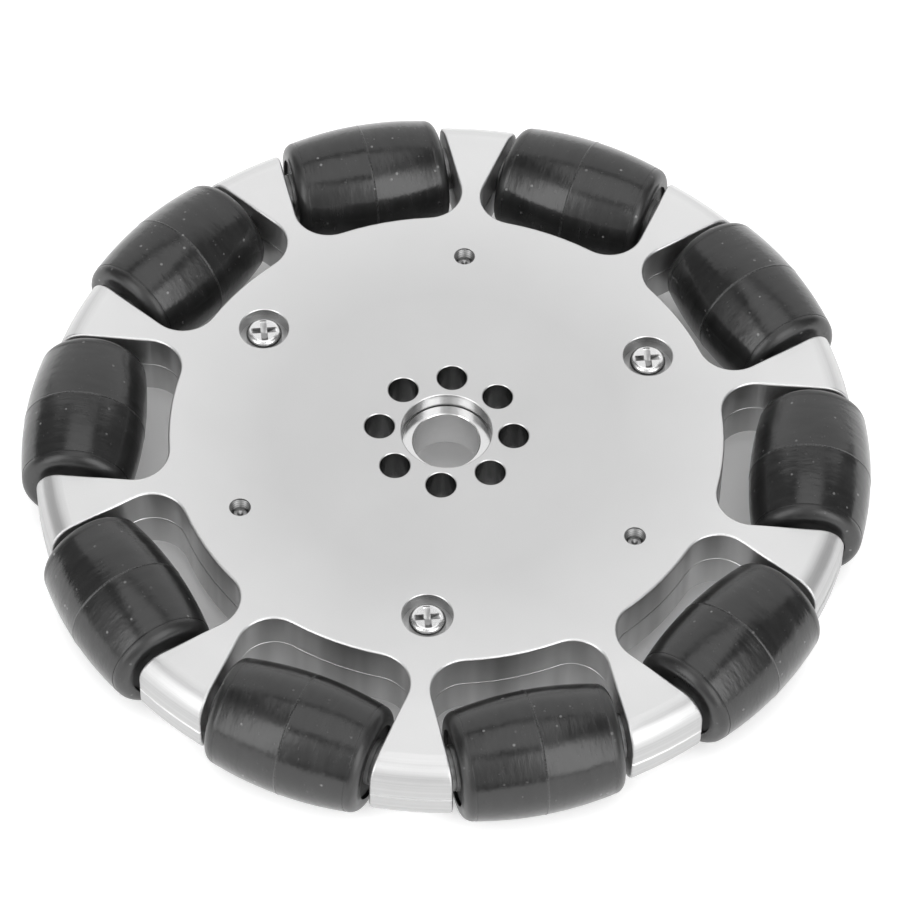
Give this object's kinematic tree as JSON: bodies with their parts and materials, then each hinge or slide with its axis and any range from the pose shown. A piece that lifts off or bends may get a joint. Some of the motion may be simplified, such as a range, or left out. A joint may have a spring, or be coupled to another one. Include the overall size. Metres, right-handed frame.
{
  "type": "omni wheel",
  "caption": "Flat aluminium omni wheel for a robot: barrel rollers held between two clamped plates turn freely across the wheel, and a bored centre with a bolt circle drives it.",
  "frame": {"origin": "centre of the wheel, on its axis, on the face where the two plates meet", "axes": "+Z along the wheel's axis, out of the plate called upper, so the wheel lies flat; +Y through the middle of one arm; in use the wheel stands up and turns about Z"},
  "size_m": [0.127, 0.1252, 0.0182],
  "materials": {
    "plate_aluminium": "satin, fine-blasted, with bright broken edges",
    "bush_steel": "turned and polished",
    "screw_steel": "bright zinc plate",
    "axle_steel": "ground",
    "washer_steel": "stamped, plated",
    "tyre_rubber": "satin moulded black rubber",
    "core_nylon": "moulded black nylon",
    "bearing_steel": "sintered, dull grey"
  },
  "bodies": {
    "hub": {"upper_plate": "plate_aluminium", "lower_plate": "plate_aluminium", "centre_bush": "bush_steel", "upper_screws": "screw_steel", "lower_screws": "screw_steel", "roller_axle_01": "axle_steel", "roller_axle_02": "axle_steel", "roller_axle_03": "axle_steel", "roller_axle_04": "axle_steel", "roller_axle_05": "axle_steel", "roller_axle_06": "axle_steel", "roller_axle_07": "axle_steel", "roller_axle_08": "axle_steel", "roller_axle_09": "axle_steel", "roller_axle_10": "axle_steel", "thrust_washers_01": "washer_steel", "thrust_washers_02": "washer_steel", "thrust_washers_03": "washer_steel", "thrust_washers_04": "washer_steel", "thrust_washers_05": "washer_steel", "thrust_washers_06": "washer_steel", "thrust_washers_07": "washer_steel", "thrust_washers_08": "washer_steel", "thrust_washers_09": "washer_steel", "thrust_washers_10": "washer_steel"},
    "roller_01": {"roller_tyre_01": "tyre_rubber", "roller_core_01": "core_nylon", "roller_bearings_01": "bearing_steel"},
    "roller_02": {"roller_tyre_02": "tyre_rubber", "roller_core_02": "core_nylon", "roller_bearings_02": "bearing_steel"},
    "roller_03": {"roller_tyre_03": "tyre_rubber", "roller_core_03": "core_nylon", "roller_bearings_03": "bearing_steel"},
    "roller_04": {"roller_tyre_04": "tyre_rubber", "roller_core_04": "core_nylon", "roller_bearings_04": "bearing_steel"},
    "roller_05": {"roller_tyre_05": "tyre_rubber", "roller_core_05": "core_nylon", "roller_bearings_05": "bearing_steel"},
    "roller_06": {"roller_tyre_06": "tyre_rubber", "roller_core_06": "core_nylon", "roller_bearings_06": "bearing_steel"},
    "roller_07": {"roller_tyre_07": "tyre_rubber", "roller_core_07": "core_nylon", "roller_bearings_07": "bearing_steel"},
    "roller_08": {"roller_tyre_08": "tyre_rubber", "roller_core_08": "core_nylon", "roller_bearings_08": "bearing_steel"},
    "roller_09": {"roller_tyre_09": "tyre_rubber", "roller_core_09": "core_nylon", "roller_bearings_09": "bearing_steel"},
    "roller_10": {"roller_tyre_10": "tyre_rubber", "roller_core_10": "core_nylon", "roller_bearings_10": "bearing_steel"}
  },
  "joints": [
    {"name": "roller_01_spin", "type": "hinge", "parent": "hub", "child": "roller_01", "pos_m": [0.01681, 0.05174, 0], "axis": [0.9511, -0.309, 0], "continuous": true},
    {"name": "roller_02_spin", "type": "hinge", "parent": "hub", "child": "roller_02", "pos_m": [0.04401, 0.03198, 0], "axis": [0.5878, -0.809, 0], "continuous": true},
    {"name": "roller_03_spin", "type": "hinge", "parent": "hub", "child": "roller_03", "pos_m": [0.0544, 0, 0], "axis": [0, -1, 0], "continuous": true},
    {"name": "roller_04_spin", "type": "hinge", "parent": "hub", "child": "roller_04", "pos_m": [0.04401, -0.03198, 0], "axis": [-0.5878, -0.809, 0], "continuous": true},
    {"name": "roller_05_spin", "type": "hinge", "parent": "hub", "child": "roller_05", "pos_m": [0.01681, -0.05174, 0], "axis": [-0.9511, -0.309, 0], "continuous": true},
    {"name": "roller_06_spin", "type": "hinge", "parent": "hub", "child": "roller_06", "pos_m": [-0.01681, -0.05174, 0], "axis": [-0.9511, 0.309, 0], "continuous": true},
    {"name": "roller_07_spin", "type": "hinge", "parent": "hub", "child": "roller_07", "pos_m": [-0.04401, -0.03198, 0], "axis": [-0.5878, 0.809, 0], "continuous": true},
    {"name": "roller_08_spin", "type": "hinge", "parent": "hub", "child": "roller_08", "pos_m": [-0.0544, 0, 0], "axis": [0, 1, 0], "continuous": true},
    {"name": "roller_09_spin", "type": "hinge", "parent": "hub", "child": "roller_09", "pos_m": [-0.04401, 0.03198, 0], "axis": [0.5878, 0.809, 0], "continuous": true},
    {"name": "roller_10_spin", "type": "hinge", "parent": "hub", "child": "roller_10", "pos_m": [-0.01681, 0.05174, 0], "axis": [0.9511, 0.309, 0], "continuous": true}
  ]
}
